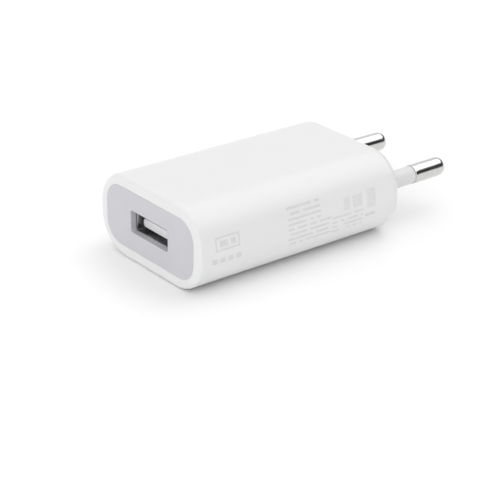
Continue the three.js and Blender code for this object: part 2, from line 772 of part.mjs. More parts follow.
function filterChokeCore() {
  const [x, y] = [4.6, behind(41.7)];
  const drum = turned(
    [
      [0, -6.4],
      [2.5, -6.4],
      [2.5, -5.5],
      [1.1, -5.3],
      [1.1, -1.3],
      [2.5, -1.1],
      [2.5, -0.2],
      [0, -0.2],
    ],
    14,
    "z",
  ).translate(x, y, BOARD_UNDER);
  const legs = [-1.5, 1.5].map((offset) => lead(x + offset, y, BOARD_UNDER - 0.6));
  return join([drum, ...legs]);
}

function filterChokeWinding() {
  const [x, y] = [4.6, behind(41.7)];
  return turned(
    [
      [1.15, -5.15],
      [2.1, -5.15],
      [2.25, -4.9],
      [2.25, -1.7],
      [2.1, -1.45],
      [1.15, -1.45],
      [1.15, -5.15],
    ],
    14,
    "z",
  ).translate(x, y, BOARD_UNDER);
}

// A four-legged moulded part hanging under the board, such as an optocoupler.
function dualInLine([x, y]) {
  const [halfX, halfY, depth] = [3.1, 2.3, 3.2];
  const top = BOARD_UNDER - 0.5;
  const eased = { edge: 0.15, arcSteps: 1, edgeSteps: 1 };
  const body = alongZ(roundedRect(halfX, halfY, eased.edge), top - depth, top, eased);
  const parts = [body.translate(x, y, 0)];
  for (const side of [-1, 1]) {
    for (const row of [-1.27, 1.27]) {
      const legX = x + side * 3.8;
      const reach = mirrored(side, halfX - BITE, 3.95).map((offset) => x + offset);
      const mid = top - depth / 2;
      parts.push(block(reach, [y + row - 0.4, y + row + 0.4], [mid - 0.15, mid + 0.15]));
      parts.push(lead(legX, y + row, mid - 0.1));
    }
  }
  return join(parts);
}

// A moulded surface-mount part on top of the board with gull-wing legs on its two long sides.
function gullWing([x, y], [halfX, halfY, height], rows) {
  const eased = { edge: 0.12, arcSteps: 1, edgeSteps: 1 };
  const body = alongZ(roundedRect(halfX, halfY, eased.edge), 0.1, height, eased);
  const [bend, thickness] = [0.25, 0.2];
  const legs = rows.flatMap((row) =>
    [-1, 1].flatMap((side) => {
      const x = [row - 0.2, row + 0.2];
      const [shoulder, shoulderTop] = [height * 0.4, height * 0.4 + thickness];
      return [
        block(x, mirrored(side, halfY - BITE, halfY + bend + thickness), [shoulder, shoulderTop]),
        block(x, mirrored(side, halfY + bend, halfY + bend + thickness), [0, shoulderTop]),
        block(x, mirrored(side, halfY + bend, halfY + 0.95), [0, thickness]),
      ];
    }),
  );
  return join([body, ...legs]).translate(x, y, BOARD_TOP);
}

function chip([x, y]) {
  const body = block([-0.95, 0.95], [-0.6, 0.6], [0.03, 0.5]);
  const ends = [-1, 1].map((side) => {
    return block(mirrored(side, 0.65, 1), [-0.63, 0.63], [0, 0.54]);
  });
  return join([body, ...ends]).translate(x, y, BOARD_TOP);
}

function mainBoard() {
  const middle = (behind(BOARD.from) + behind(BOARD.to)) / 2;
  const halfLength = (BOARD.to - BOARD.from) / 2;
  const outline = roundedRect(BOARD.halfWidth, halfLength, BOARD.corner);
  const plate = alongZ(outline, BOARD_UNDER, BOARD_TOP, { arcSteps: 2 }).translate(0, middle, 0);
  return cut(plate, boardHoles);
}

function insulatingSheet() {
  const middle = (behind(SHEET.from) + behind(SHEET.to)) / 2;
  const halfLength = (SHEET.to - SHEET.from) / 2;
  const ceiling = MID + CAVITY.halfHeight;
  const outline = roundedRect(SHEET.halfWidth, halfLength, SHEET.corner);
  return alongZ(outline, ceiling - SHEET.thickness, ceiling, { arcSteps: 2 }).translate(0, middle, 0);
}

// ---------------------------------------------------------------- assembly

const charger = new THREE.Group();
charger.name = "usb_wall_charger";

function place(name, body, material) {
  const { vertProperties, triVerts } = body.getMesh();
  const geometry = new THREE.BufferGeometry();
  geometry.setAttribute("position", new THREE.BufferAttribute(vertProperties, 3));
  geometry.setIndex(new THREE.BufferAttribute(triVerts, 1));
  geometry.computeVertexNormals();
  const mesh = new THREE.Mesh(geometry, material);
  mesh.name = name;
  charger.add(mesh);
}

place("body_shell", bodyShell(), GLOSS_WHITE);
place("usb_end_cap", usbEndCap(), CAP_GREY);
for (const [name, side] of [["left", -1], ["right", 1]]) {
  place(`mains_pin_${name}`, atPin(mainsPin(), side), NICKEL);
  place(`pin_sleeve_${name}`, atPin(pinSleeve(), side), SLEEVE_WHITE);
  place(`pin_contact_${name}`, pinContact(side), BRASS);
}
place("pin_carrier", pinCarrier(), NYLON);

place("usb_socket_shell", socketShell(), STEEL);
place("usb_socket_insulator", socketInsulator(), TONGUE_WHITE);
for (const [name, x] of Object.entries(CONTACT.offsets)) {
  place(name, usbContact(x), GOLD);
}

const outputCan = { radius: 2.5, length: 9.5, axis: "y", toward: 1, pitch: 2, leadGap: 0.7 };
for (const [name, side] of [["left", -1], ["right", 1]]) {
  const can = layingCapacitor({ ...outputCan, at: [side * 9.5, behind(14.7)] });
  place(`output_capacitor_${name}`, can, CAN_GREEN);
}

const bulkCan = { radius: 3.95, length: 10.4, axis: "x", pitch: 3.5, leadGap: 0.6 };
for (const [name, side] of [["left", -1], ["right", 1]]) {
  const can = layingCapacitor({ ...bulkCan, toward: -side, at: [side * 1.3, behind(35.2)] });
  place(`bulk_capacitor_${name}`, can, CAN_BLACK);
}

place("transformer_core_left", transformerCore(-1), FERRITE);
place("transformer_core_right", transformerCore(1), FERRITE);
place("transformer_bobbin", transformerBobbin(), NYLON);
place("transformer_winding", transformerWinding(), COPPER);
place("transformer_coil_tape", transformerTape(), TAPE);
place("transformer_core_tape", coreTape(), TAPE);
terminalPlaces().forEach(([x, y], i) => {
  const [tx, ty, tz] = TRANSFORMER.at;
  place(`transformer_terminal_${i + 1}`, lead(tx + x, ty + y, tz + 2.3), NICKEL);
});

place("y_capacitor", yCapacitor(), DISC_BLUE);
place("auxiliary_capacitor", auxCapacitor(), CAN_BLACK);
place("optocoupler", dualInLine([7.6, behind(28.5)]), BLACK);
const diode = { radius: 1.35, length: 5.2, at: [10.6, behind(21.3)], axis: "y", span: 8 };
place("output_diode", axialPart(diode), BLACK);
const fuse = { radius: 1.5, length: 6, at: [-3.2, behind(42)], axis: "x", span: 8 };
place("fuse_resistor", axialPart(fuse), FUSE_TAN);
place("filter_choke_core", filterChokeCore(), FERRITE);
place("filter_choke_winding", filterChokeWinding(), COPPER);
const twoRows = [-1.27, 1.27];
place("bridge_rectifier", gullWing([-5.6, behind(35.2)], [2.35, 1.9, 1.4], twoRows), BLACK);
const fourRows = [-1.9, -0.63, 0.63, 1.9];
place("switching_controller", gullWing([5.8, behind(35.2)], [2.45, 1.9, 1.4], fourRows), BLACK);

const chipPlaces = [
  [-7.6, behind(22)],
  [-7.6, behind(25)],
  [-4, behind(23.5)],
  [7.2, behind(24.6)],
  [-9.2, behind(10)],
  [9.2, behind(10)],
];
chipPlaces.forEach((at, i) => {
  const kind = i < 4 ? `chip_resistor_${i + 1}` : `chip_capacitor_${i - 3}`;
  place(kind, chip(at), i < 4 ? BLACK : FUSE_TAN);
});

place("main_board", mainBoard(), BOARD_TAN);
place("insulating_sheet", insulatingSheet(), FILM);

export default charger;
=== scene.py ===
"""The looks of the USB wall charger: mouldings, turned pins, the USB port and every material.

Shapes are worked out in millimetres in the CAD frame. +Y runs from the USB end to the pin tips, and +Z is up.
"""

import math

import bmesh
import bpy
from mathutils import Matrix, Vector


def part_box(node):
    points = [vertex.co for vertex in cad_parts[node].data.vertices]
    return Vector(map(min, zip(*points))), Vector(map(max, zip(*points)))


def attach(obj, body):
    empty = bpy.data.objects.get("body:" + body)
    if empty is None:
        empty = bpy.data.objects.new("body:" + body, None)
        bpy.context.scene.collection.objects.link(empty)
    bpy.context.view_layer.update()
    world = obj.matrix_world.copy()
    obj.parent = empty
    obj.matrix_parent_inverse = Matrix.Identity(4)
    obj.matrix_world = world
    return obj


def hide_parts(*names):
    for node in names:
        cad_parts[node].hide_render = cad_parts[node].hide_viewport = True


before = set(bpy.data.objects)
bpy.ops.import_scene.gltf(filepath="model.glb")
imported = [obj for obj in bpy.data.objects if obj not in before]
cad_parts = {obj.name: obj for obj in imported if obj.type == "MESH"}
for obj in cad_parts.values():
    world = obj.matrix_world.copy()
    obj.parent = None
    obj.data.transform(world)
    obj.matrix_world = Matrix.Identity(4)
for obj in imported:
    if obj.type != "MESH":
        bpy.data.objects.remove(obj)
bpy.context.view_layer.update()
MM = 0.001

# ---------------------------------------------------------------- sizes


def box_mm(node):
    """A CAD node's lowest and highest corners."""
    low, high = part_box(node)
    return low / MM, high / MM


SHELL_LOW, SHELL_HIGH = box_mm("body_shell")
USB_FACE = SHELL_LOW.y
PLUG_FACE = SHELL_HIGH.y
MID = (SHELL_LOW.z + SHELL_HIGH.z) / 2

# A section is the half width, half height and corner radius of a rounded rectangle.
BODY = (SHELL_HIGH.x, SHELL_HIGH.z - MID, 7.9)
MOUTH = (14.25, 6.25, 4.45)
CAVITY = (13.85, 5.85, 4.05)
CAP = (14.23, 6.23, 4.43)
SKIRT_OUTER = (13.7, 5.7, 3.9)
SKIRT_INNER = (12.7, 4.7, 2.9)
PORT = (6.1, 2.3, 0.52)
SOCKET = (6.25, 2.56, 0.45)
SOCKET_WALL = 0.3
TONGUE = (5.55, 0.9, 0.75)
REAR_BLOCK = (6.2, 2.5, 0.5)

USB_EDGE = 0.8
PLUG_EDGE = 2.0
CAVITY_EDGE = 1.2
PLUG_WALL = 3.0
CAP_THICKNESS = 1.35
SKIRT_DEPTH = 2.4
SKIRT_CHAMFER = 0.2
SMALL_EDGE = 0.07  # rounding along the seam and the port opening

HOOK_LENGTH = 5.9
HOOK_HALF_HEIGHT = 1.5
HOOK_BARB = 0.55  # how far the barb stands out of the skirt
HOOK_BARB_START = 1.3  # from the tip of the hook back to the catching face of the barb
HOOK_BARB_END = 0.95  # from the tip back to where the barb begins to slope in
HOOK_BITE = 0.1  # how far the hook sits inside the skirt
HOOK_ROOT = 0.4  # how far behind the plate of the cap the hook begins
HOOK_TIP_SLOPE = 0.3
HOOK_EDGE = 0.1

# Distances along a pin run from the plug face out to the tip.
PIN_ROOT_SPACING = 18.6
PIN_TIP_SPACING = 18.0
PIN_REACH = 18.5
PIN_BARE = 9.0  # length of metal left bare at the tip
PIN_RADIUS = 2.0
PIN_TIP_RADIUS = 1.45
PIN_SHOULDER = 0.16  # rounding where the bare metal meets the sleeve
PIN_TAIL = -9.0
PIN_TAIL_RADIUS = 1.2
PIN_TAIL_EDGE = 0.3
PIN_STEP = (0.5, 0.25)  # where the tail widens to the shank, before the flange
FLANGE_RADIUS = 2.4
FLANGE = (-5.2, -4.2)
SHANK_RADIUS = 1.45
PIN_HOLE_RADIUS = 2.36
SLEEVE_RADIUS = 1.9
SLEEVE_BORE = 1.5
SLEEVE_END_GAP = 0.04
SLEEVE_END_EDGE = 0.14
SLEEVE_ROOT_RADIUS = 2.3
SLEEVE_FLARE = 0.9  # length over which the sleeve narrows from its root
COLLAR_RADIUS = 3.2
COLLAR_EDGE = 0.1
COLLAR = (-3.8, -3.06)
PIN_TILT = math.atan2((PIN_ROOT_SPACING - PIN_TIP_SPACING) / 2, PIN_REACH)

SOCKET_GAP = 0.35  # between the cap and the front of the port shell
SOCKET_FRONT = USB_FACE + CAP_THICKNESS + SOCKET_GAP
SOCKET_LENGTH = 13.7
SOCKET_LIP = 0.08
FINGER_ROOT = SOCKET_FRONT + 7.9
FINGER_LENGTH = 5.6
FINGER_SPACING = 3.0
FINGER_WINDOW_HALF = 1.1
FINGER_SLOT = 0.3
FINGER_TIP_GAP = 0.5
FINGER_THICKNESS = SOCKET_WALL - 0.04
# A finger's path: how far along Y from its root, and how far into the bore.
FINGER_PATH = [(0.4, 0), (0, 0), (-2.4, 0.22), (-4.1, 0.42), (-4.9, 0.36), (-FINGER_LENGTH, 0.14)]
SIDE_FINGER_DIP = 0.7  # a side finger's dip, as a share of the others' dip
LEG_FRONT = SOCKET_FRONT + 8.3
LEG_WIDTH = 1.4
LEG_THICKNESS = SOCKET_WALL - 0.02
TONGUE_FRONT = box_mm("usb_socket_insulator")[0].y
TONGUE_TOP = MID + 0.15
TONGUE_MID = TONGUE_TOP - TONGUE[1]
TONGUE_EDGE = 0.14
BLOCK_FRONT = USB_FACE + 11.4
BLOCK_REAR = box_mm("usb_socket_insulator")[1].y
BLOCK_EDGE = 0.15
BLOCK_GROOVE_TOP = TONGUE_TOP + 0.2
CONTACTS = {
    "usb_contact_ground": -3.5,
    "usb_contact_d_plus": -1.0,
    "usb_contact_d_minus": 1.0,
    "usb_contact_vbus": 3.5,
}
CONTACT_HALF_WIDTH = 0.45
CONTACT_THICKNESS = 0.2
# A contact's pad: how far behind the USB face, and how far above the tongue.
CONTACT_PAD = [(3.42, -0.3), (3.9, 0.0), (4.5, 0.17), (5.1, 0.16), (6.4, 0.0), (8.6, -0.28)]
CONTACT_FLAT = (10.8, 13.2)  # where the flat root runs, behind the USB face
CONTACT_TAIL = USB_FACE + 16
CONTACT_ROOT = TONGUE_TOP - 0.5
GROOVE_HALF_WIDTH = 0.6
GROOVE_FLOOR = TONGUE_TOP - 0.8
GROOVE_FRONT = USB_FACE + 3.1

SIDES = {"left": -1, "right": 1}
SHARP_DEGREES = 32
OVERCUT = 1  # how far a cutting tool runs past the material

# ---------------------------------------------------------------- mesh helpers


def ring(section, inset=0.0, corner_steps=20, flat_steps=6):
    """Points (x, z) round a rounded rectangle, drawn in from its outline by inset."""
    w, h, r = (value - inset for value in section)
    centres = [(w - r, h - r), (r - w, h - r), (r - w, r - h), (w - r, r - h)]
    points = []
    for quarter, centre in enumerate(centres):
        angles = [(quarter + k / corner_steps) * math.pi / 2 for k in range(corner_steps + 1)]
        points += [Vector((centre[0] + r * math.cos(a), centre[1] + r * math.sin(a))) for a in angles]
        last = angles[-1]
        ahead = centres[(quarter + 1) % 4]
        corner = Vector((ahead[0] + r * math.cos(last), ahead[1] + r * math.sin(last)))
        points += [points[-1].lerp(corner, k / flat_steps) for k in range(1, flat_steps)]
    return points


def at_y(points, y, middle=MID):
    """Ring points stood up at a distance along Y."""
    return [Vector((p.x, y, p.y + middle)) for p in points]


def rounding(section, face, edge, inward, steps=8, opening=False, middle=MID, **shape):
    """Rings from a flat end face round onto the sides.

    inward is the way along Y from the face to the material.
    """
    rings = []
    for k in range(steps + 1):
        angle = k / steps * math.pi / 2
        inset = edge * (1 - math.sin(angle))
        depth = edge * (1 - math.cos(angle))
        points = ring(section, -inset if opening else inset, **shape)
        rings.append(at_y(points, face + inward * depth, middle))
    return rings


def add_ring(bm, points):
    return [bm.verts.new(point * MM) for point in points]


def bridge(bm, lower, upper):
    count = len(lower)
    for i in range(count):
        n = (i + 1) % count
        bm.faces.new((lower[i], lower[n], upper[n], upper[i]))


def loft(bm, rings, closed=False, capped=False):
    """Skins a row of rings; closed joins the last to the first, capped fills both ends."""
    made = [add_ring(bm, points) for points in rings]
    for lower, upper in zip(made, made[1:]):
        bridge(bm, lower, upper)
    if closed:
        bridge(bm, made[-1], made[0])
    if capped:
        bm.faces.new(made[0])
        bm.faces.new(made[-1])
    return made


def fill_between(bm, loops):
    """Fills the flat region between an outer loop and the loops inside it."""
    edges = []
    for verts in loops:
        for vert, ahead in zip(verts, verts[1:] + verts[:1]):
            edges.append(bm.edges.get((vert, ahead)) or bm.edges.new((vert, ahead)))
    bmesh.ops.triangle_fill(bm, use_beauty=True, use_dissolve=False, edges=edges)


def lathe(profile, place, steps=64):
    """Turns (radius, height) points about the Y axis, and puts the result where place says."""
    bm = bmesh.new()
    closed = profile[0] == profile[-1]
    rings = []
    for radius, height in profile[: -1 if closed else None]:
        turns = [2 * math.pi * k / steps for k in range(steps if radius else 1)]
        points = [place @ Vector((radius * math.cos(a), height, radius * math.sin(a))) for a in turns]
        rings.append(add_ring(bm, points))
    if closed:
        rings.append(rings[0])
    for lower, upper in zip(rings, rings[1:]):
        for k in range(steps):
            n = (k + 1) % steps
            if len(lower) == 1:
                bm.faces.new((lower[0], upper[k], upper[n]))
            elif len(upper) == 1:
                bm.faces.new((lower[k], lower[n], upper[0]))
            else:
                bm.faces.new((lower[k], lower[n], upper[n], upper[k]))
    return bm


def rounded_end(radius, height, edge, steps=8):
    """Profile points that round the outer edge of an end face at a height; a negative edge faces down."""
    angles = [k / steps * math.pi / 2 for k in range(steps + 1)]
    inner = radius - abs(edge)
    return [(inner + abs(edge) * math.cos(a), height - edge + edge * math.sin(a)) for a in angles]


def smooth_path(points, per_span=6):
    """A Catmull-Rom curve through the points."""
    p = [Vector(point) for point in points]
    p = [p[0] * 2 - p[1], *p, p[-1] * 2 - p[-2]]
    curve = []
    for a, b, c, d in zip(p, p[1:], p[2:], p[3:]):
        for k in range(per_span):
            t = k / per_span
            bend = (c - a) * t + (2 * a - 5 * b + 4 * c - d) * t**2 + (3 * b - a - 3 * c + d) * t**3
            curve.append(b + bend / 2)
    return [*curve, p[-2]]


def ribbon(path, half_width, thickness, placed):
    """A sheet-metal strip with eased edges.

    placed maps a path point and a distance across it to a position.
    """
    bm = bmesh.new()
    half = thickness / 2
    ease = thickness * 0.28
    inner = half_width - ease
    section = [(half_width, ease - half), (half_width, half - ease), (inner, half), (-inner, half)]
    section += [(-across, -depth) for across, depth in section]
    rings = []
    for i, point in enumerate(path):
        along = (path[min(i + 1, len(path) - 1)] - path[max(i - 1, 0)]).normalized()
        normal = Vector((-along.y, along.x))
        rings.append([placed(point + normal * depth, across) for across, depth in section])
    loft(bm, rings, capped=True)
    return bm


def block(low, high):
    """A plain box, for cutting."""
    bm = bmesh.new()
    bmesh.ops.create_cube(bm, size=MM)
    low, high = Vector(low), Vector(high)
    bmesh.ops.scale(bm, vec=high - low, verts=bm.verts)
    bmesh.ops.translate(bm, vec=(low + high) / 2 * MM, verts=bm.verts)
    return bm


def linked_object(name, bm):
    """Puts a mesh into the scene under a name."""
    mesh = bpy.data.meshes.new(name)
    bm.to_mesh(mesh)
    bm.free()
    made = bpy.data.objects.new(name, mesh)
    bpy.context.scene.collection.objects.link(made)
    return made


def scratch_object(bm):
    bmesh.ops.recalc_face_normals(bm, faces=bm.faces)
    return linked_object("scratch", bm)


def combined(bm, add=(), cut=()):
    """Joins solids to a solid and then cuts others away."""
    target = scratch_object(bm)
    tools = []
    for operation, solids in (("UNION", add), ("DIFFERENCE", cut)):
        for solid in solids:
            tool = scratch_object(solid)
            tools.append(tool)
            step = target.modifiers.new(operation, "BOOLEAN")
            step.operation = operation
            step.solver = "EXACT"
            step.object = tool
    result = bmesh.new()
    result.from_mesh(target.evaluated_get(bpy.context.evaluated_depsgraph_get()).to_mesh())
    for scratch in [target, *tools]:
        mesh = scratch.data
        bpy.data.objects.remove(scratch)
        bpy.data.meshes.remove(mesh)
    return result


def mark_worn_edges(bm):
    """Writes how tight each rounded outer edge is, from 0 for gentle to 1 for 1 mm and less, for the wear."""
    worn = bm.verts.layers.float.new("worn")
    for edge in bm.edges:
        if len(edge.link_faces) != 2:
            continue
        angle = edge.calc_face_angle_signed(0)
        if not 0 < angle < math.radians(SHARP_DEGREES):
            continue
        width = sum(face.calc_area() for face in edge.link_faces) / 2 / max(edge.calc_length(), 1e-7)
        tightness = min(angle / max(width / MM, 1e-4), 1)
        for vert in edge.verts:
            vert[worn] = max(vert[worn], tightness)


def finished(bm, name, body, material, slot, *nodes):
    """Makes a piece of a mesh: smooth shaded, and riding on its body in place of its CAD nodes."""
    bmesh.ops.remove_doubles(bm, verts=bm.verts, dist=1e-8)
    bmesh.ops.recalc_face_normals(bm, faces=bm.faces)
    mark_worn_edges(bm)
    piece = linked_object(name, bm)
    mesh = piece.data
    mesh.polygons.foreach_set("use_smooth", [True] * len(mesh.polygons))
    mesh.set_sharp_from_angle(angle=math.radians(SHARP_DEGREES))
    mesh.materials.append(material)
    even = piece.modifiers.new("even_normals", "WEIGHTED_NORMAL")
    even.keep_sharp = True
    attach(piece, body)
    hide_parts(*nodes)


# ---------------------------------------------------------------- node helpers


class Nodes:
    """Short ways to build a node tree."""

    def __init__(self, tree):
        self.tree = tree

    def node(self, kind, **settings):
        made = self.tree.nodes.new(kind)
        for key, value in settings.items():
            setattr(made, key, value)
        return made

    def put(self, socket, value):
        """Sets a socket to a constant, or links another socket to it."""
        if isinstance(value, bpy.types.NodeSocket):
            self.tree.links.new(value, socket)
        else:
            socket.default_value = value

    def remap(self, value, low, high, to_low=0.0, to_high=1.0):
        """Carries value from one range to another, clamped and eased at both ends."""
        made = self.node("ShaderNodeMapRange", interpolation_type="SMOOTHSTEP")
        names = ("Value", "From Min", "From Max", "To Min", "To Max")
        for name, setting in zip(names, (value, low, high, to_low, to_high)):
            self.put(made.inputs[name], setting)
        return made.outputs["Result"]

    def math(self, operation, *values):
        made = self.node("ShaderNodeMath", operation=operation)
        for socket, value in zip(made.inputs, values):
            self.put(socket, value)
        return made.outputs[0]

    def product(self, first, *others):
        for other in others:
            first = self.math("MULTIPLY", first, other)
        return first

    def highest(self, first, *others):
        for other in others:
            first = self.math("MAXIMUM", first, other)
        return first

    def mix(self, factor, a, b):
        made = self.node("ShaderNodeMix", data_type="RGBA")
        for name, value in (("Factor", factor), ("A", a), ("B", b)):
            self.put(next(s for s in made.inputs if s.name == name and s.enabled), value)
        return next(s for s in made.outputs if s.enabled)

    def axes(self, vector):
        split = self.node("ShaderNodeSeparateXYZ")
        self.put(split.inputs[0], vector)
        return split.outputs

    def along(self, vector, direction):
        """How far a vector points along a direction."""
        made = self.node("ShaderNodeVectorMath", operation="DOT_PRODUCT")
        self.put(made.inputs[0], vector)
        made.inputs[1].default_value = direction
        return made.outputs["Value"]


class Surface(Nodes):
    """A material whose colour, gloss and relief vary over the piece, in object coordinates."""

    def __init__(self, name, color, roughness, metallic=0.0):
        self.material = bpy.data.materials.new(name)
        self.material.use_nodes = True
        super().__init__(self.material.node_tree)
        self.shader = self.tree.nodes["Principled BSDF"]
        self.color = (*color, 1)
        self.shader.inputs["Base Color"].default_value = self.color
        self.shader.inputs["Roughness"].default_value = roughness
        self.shader.inputs["Metallic"].default_value = metallic
        self.place = self.node("ShaderNodeTexCoord").outputs["Object"]
        self.normal = None

    def noise(self, size, detail=3.0, stretch=(1, 1, 1), rough=0.55):
        """Noise with features of about size millimetres, finer along an axis that is stretched."""
        mapping = self.node("ShaderNodeMapping")
        mapping.inputs["Scale"].default_value = stretch
        self.put(mapping.inputs["Vector"], self.place)
        made = self.node("ShaderNodeTexNoise")
        made.inputs["Scale"].default_value = 1 / (size * MM)
        made.inputs["Detail"].default_value = detail
        made.inputs["Roughness"].default_value = rough
        self.put(made.inputs["Vector"], mapping.outputs["Vector"])
        return made.outputs["Fac"]

    def worn(self):
        """1 where the tightest outer edges are rubbed, coming and going along them."""
        edges = self.node("ShaderNodeAttribute", attribute_name="worn").outputs["Fac"]
        return self.product(self.remap(edges, 0.2, 0.9), self.remap(self.noise(2.5, 3), 0.35, 0.65))

    def tint(self, mask, color):
        """Lays another colour on where mask is 1."""
        self.color = self.mix(mask, self.color, (*color, 1))
        self.put(self.shader.inputs["Base Color"], self.color)

    def gloss(self, value):
        self.put(self.shader.inputs["Roughness"], value)

    def bump(self, height, depth):
        """Relief of a depth in millimetres."""
        made = self.node("ShaderNodeBump")
        made.inputs["Distance"].default_value = depth * MM
        self.put(made.inputs["Height"], height)
        if self.normal:
            self.put(made.inputs["Normal"], self.normal)
        self.normal = made.outputs["Normal"]
        self.put(self.shader.inputs["Normal"], self.normal)


def moulding(name, color, deep, roughness, grain=0.14, depth=0.004):
    """Moulded plastic: faint clouds, uneven gloss, a fine grain and rubbed edges.

    A roughness over 0.3 never dips below 0.274. Cycles guides the denoiser in another way below that, and a
    gloss that crosses it leaves outlines.
    """
    s = Surface(name, color, roughness)
    s.tint(s.remap(s.noise(9, 2), 0.3, 0.75), deep)
    worn = s.worn()
    s.tint(s.product(worn, 0.4), tuple(value * 0.95 for value in color))
    gloss = s.remap(s.noise(2.4, 4), 0.3, 0.7, roughness * 0.9, roughness * 1.12)
    s.gloss(s.math("ADD", gloss, s.product(worn, 0.1)))
    s.bump(s.noise(grain, 2), depth)
    return s


def metal(name, color, deep, roughness, line_size, stretch, depth):
    """Plated metal: fine directional lines, smudges, and duller worn edges."""
    s = Surface(name, color, roughness, metallic=1.0)
    s.tint(s.remap(s.noise(1.8, 5), 0.4, 0.8), deep)
    lines = s.noise(line_size, 4, stretch, 0.65)
    smudge = s.remap(s.noise(2.6, 4), 0.35, 0.7, roughness * 0.7, roughness * 1.3)
    cut = s.remap(lines, 0.5, 0.8, 0, roughness * 0.5)
    s.gloss(s.math("ADD", s.math("ADD", smudge, cut), s.product(s.worn(), 0.12)))
    s.bump(lines, depth)
    return s


def speckled(name, color, speck, roughness, size, depth):
    """A pressed or coated body with specks and a faint unevenness."""
    s = Surface(name, color, roughness)
    s.tint(s.remap(s.noise(size, 4, rough=0.7), 0.5, 0.7), speck)
    s.gloss(s.remap(s.noise(size * 5), 0.3, 0.7, roughness * 0.82, roughness * 1.18))
    s.bump(s.noise(size, 4), depth)
    return s


# ---------------------------------------------------------------- materials


def printed_bars(s):
    """Faint pad-printed bars and blocks on the +X side, where the real charger has its print."""
    x, y, z = s.axes(s.place)

    def between(value, low, high):
        soft = 0.1
        rise = s.remap(value, (low - soft) * MM, (low + soft) * MM)
        fall = s.remap(value, (high - soft) * MM, (high + soft) * MM, 1, 0)
        return s.product(rise, fall)

    def patch(y_range, z_range):
        return s.product(between(y, *y_range), between(z, *z_range))

    def outline(y_range, z_range, line=0.35):
        inner = patch((y_range[0] + line, y_range[1] - line), (z_range[0] + line, z_range[1] - line))
        return s.math("SUBTRACT", patch(y_range, z_range), inner)

    def rows(y_range, z_range, pitch, word):
        """Rows of short bars, each row broken at its own places."""
        count = s.math("DIVIDE", z, pitch * MM)
        phase = s.math("FRACT", count)
        line = s.product(s.remap(phase, 0.24, 0.36), s.remap(phase, 0.66, 0.78, 1, 0))
        cell = s.node("ShaderNodeCombineXYZ")
        s.put(cell.inputs["X"], s.math("FLOOR", s.math("DIVIDE", y, word * MM)))
        s.put(cell.inputs["Y"], s.math("FLOOR", count))
        chance = s.node("ShaderNodeTexWhiteNoise", noise_dimensions="2D")
        s.put(chance.inputs["Vector"], cell.outputs["Vector"])
        shown = s.math("GREATER_THAN", chance.outputs["Value"], 0.2)
        return s.product(line, shown, patch(y_range, z_range))

    marks = [
        rows((-13.5, -5.2), (9.4, 13.6), 1.05, 0.8),
        rows((-13.5, -2.5), (5.2, 9.4), 1.05, 0.8),
        rows((-2.2, 5.9), (5.0, 8.7), 1.0, 0.9),
        patch((6.5, 9.2), (6.7, 7.3)),
        outline((-31.2, -25.4), (9.2, 12)),
        patch((-30.2, -28.2), (10, 11.2)),
        patch((-27.6, -26.4), (10, 11.2)),
    ]
    for k in range(4):
        start = -32 + k * 1.9
        marks.append(patch((start, start + 1.3), (6.7, 7.8)))
    for start, width, low, high in ((0.8, 1.5, 9.4, 11.9), (3.1, 2.5, 9.4, 11.9), (6.9, 2.3, 8.4, 12.3)):
        marks.append(s.product(patch((start, start + width), (low, high)), 0.6))
    side = s.math("GREATER_THAN", x, 10 * MM)
    return s.product(s.highest(*marks), side, s.remap(s.noise(0.6, 3), 0.25, 0.6, 0.55, 1))


def shell_white():
    s = moulding("shell_gloss_white", (0.80, 0.80, 0.803), (0.795, 0.795, 0.799), 0.31, 1.6, 0.0009)
    printed = printed_bars(s)
    s.tint(s.product(printed, 0.65), (0.6, 0.6, 0.61))
    s.bump(s.noise(0.16, 2), 0.0005)
    s.bump(printed, 0.006)
    return s.material


def enamelled_copper():
    s = Surface("enamelled_copper", (0.62, 0.27, 0.11), 0.3, metallic=1.0)
    turns = s.node("ShaderNodeTexWave", bands_direction="X")
    turns.inputs["Scale"].default_value = 1 / (1.2 * MM)
    turns.inputs["Distortion"].default_value = 0.4
    s.put(turns.inputs["Vector"], s.place)
    # Painted shade: the copper is darkened in the valleys between the turns, where the bump below is lowest.
    s.tint(s.remap(turns.outputs["Fac"], 0, 0.6, 0.8, 0), (0.25, 0.09, 0.04))
    s.gloss(s.remap(s.noise(0.8), 0.3, 0.7, 0.2, 0.4))
    s.bump(turns.outputs["Fac"], 0.08)
    return s.material


def wrapped_tape():
    s = Surface("polyester_tape", (0.78, 0.52, 0.03), 0.25)
    s.tint(s.remap(s.noise(2.5, 3), 0.35, 0.7), (0.7, 0.42, 0.02))
    s.gloss(s.remap(s.noise(0.9), 0.3, 0.7, 0.18, 0.34))
    s.bump(s.noise(1.5, 2, (0.3, 1, 1)), 0.05)
    return s.material


def laminate():
    s = Surface("board_laminate", (0.42, 0.23, 0.08), 0.5)
    fibre = s.noise(0.5, 5, (0.25, 1, 1))
    s.tint(s.remap(fibre, 0.35, 0.7), (0.55, 0.33, 0.13))
    s.gloss(s.remap(s.noise(1.2), 0.3, 0.7, 0.4, 0.6))
    s.bump(fibre, 0.01)
    return s.material


